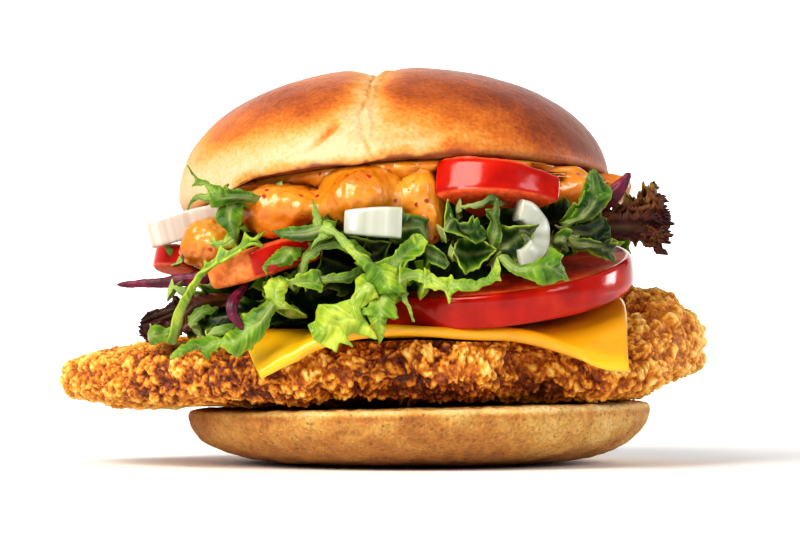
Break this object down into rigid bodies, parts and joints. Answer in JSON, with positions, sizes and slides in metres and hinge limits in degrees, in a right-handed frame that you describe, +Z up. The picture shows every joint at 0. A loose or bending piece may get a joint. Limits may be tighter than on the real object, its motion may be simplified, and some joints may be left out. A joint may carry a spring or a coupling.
{
  "type": "pork burger",
  "caption": "Crumbed pork cutlet in a split round bun with a cheese slice, tomato, mixed salad leaves, onion and chilli sauce, standing on its flat base.",
  "frame": {"origin": "middle of the heel bun's flat underside", "axes": "+Z up through the stack, +X along the cutlet towards its thick end, -Y towards the front, where the cheese hangs and the salad shows"},
  "size_m": [0.1557, 0.1186, 0.0947],
  "materials": {
    "toasted_bread": "matte, fine-pored baked crumb",
    "glazed_crust": "egg-glazed golden crust, satin",
    "fried_crumb": "crisp fried crumb coating, lightly oily",
    "sliced_cheese": "smooth melted slice, glossy",
    "tomato": "wet skin and cut flesh, glossy",
    "raw_onion": "wet translucent white, glossy",
    "red_cabbage": "crisp purple shred, satin",
    "chilli_sauce": "thick wet sauce, glossy",
    "lettuce": "waxy green leaf, satin",
    "red_lettuce": "crinkled dark red leaf, satin"
  },
  "bodies": {
    "root": {"heel_bun": "toasted_bread", "crown_bun": "glazed_crust", "pork_cutlet": "fried_crumb", "cheese_slice": "sliced_cheese", "tomato_slice_lower": "tomato", "tomato_slice_upper": "tomato", "tomato_wedge_near": "tomato", "tomato_wedge_far": "tomato", "onion_left": "raw_onion", "onion_front": "raw_onion", "onion_right": "raw_onion", "cabbage_shred_left": "red_cabbage", "cabbage_shred_front": "red_cabbage", "cabbage_shred_right": "red_cabbage", "sauce": "chilli_sauce", "sauce_dollop": "chilli_sauce", "salad_heap": "lettuce", "lettuce_sprig_left": "lettuce", "lettuce_rib_left": "lettuce", "lettuce_blade_right": "lettuce", "red_leaf_left": "red_lettuce", "red_leaf_right": "red_lettuce"}
  },
  "joints": []
}
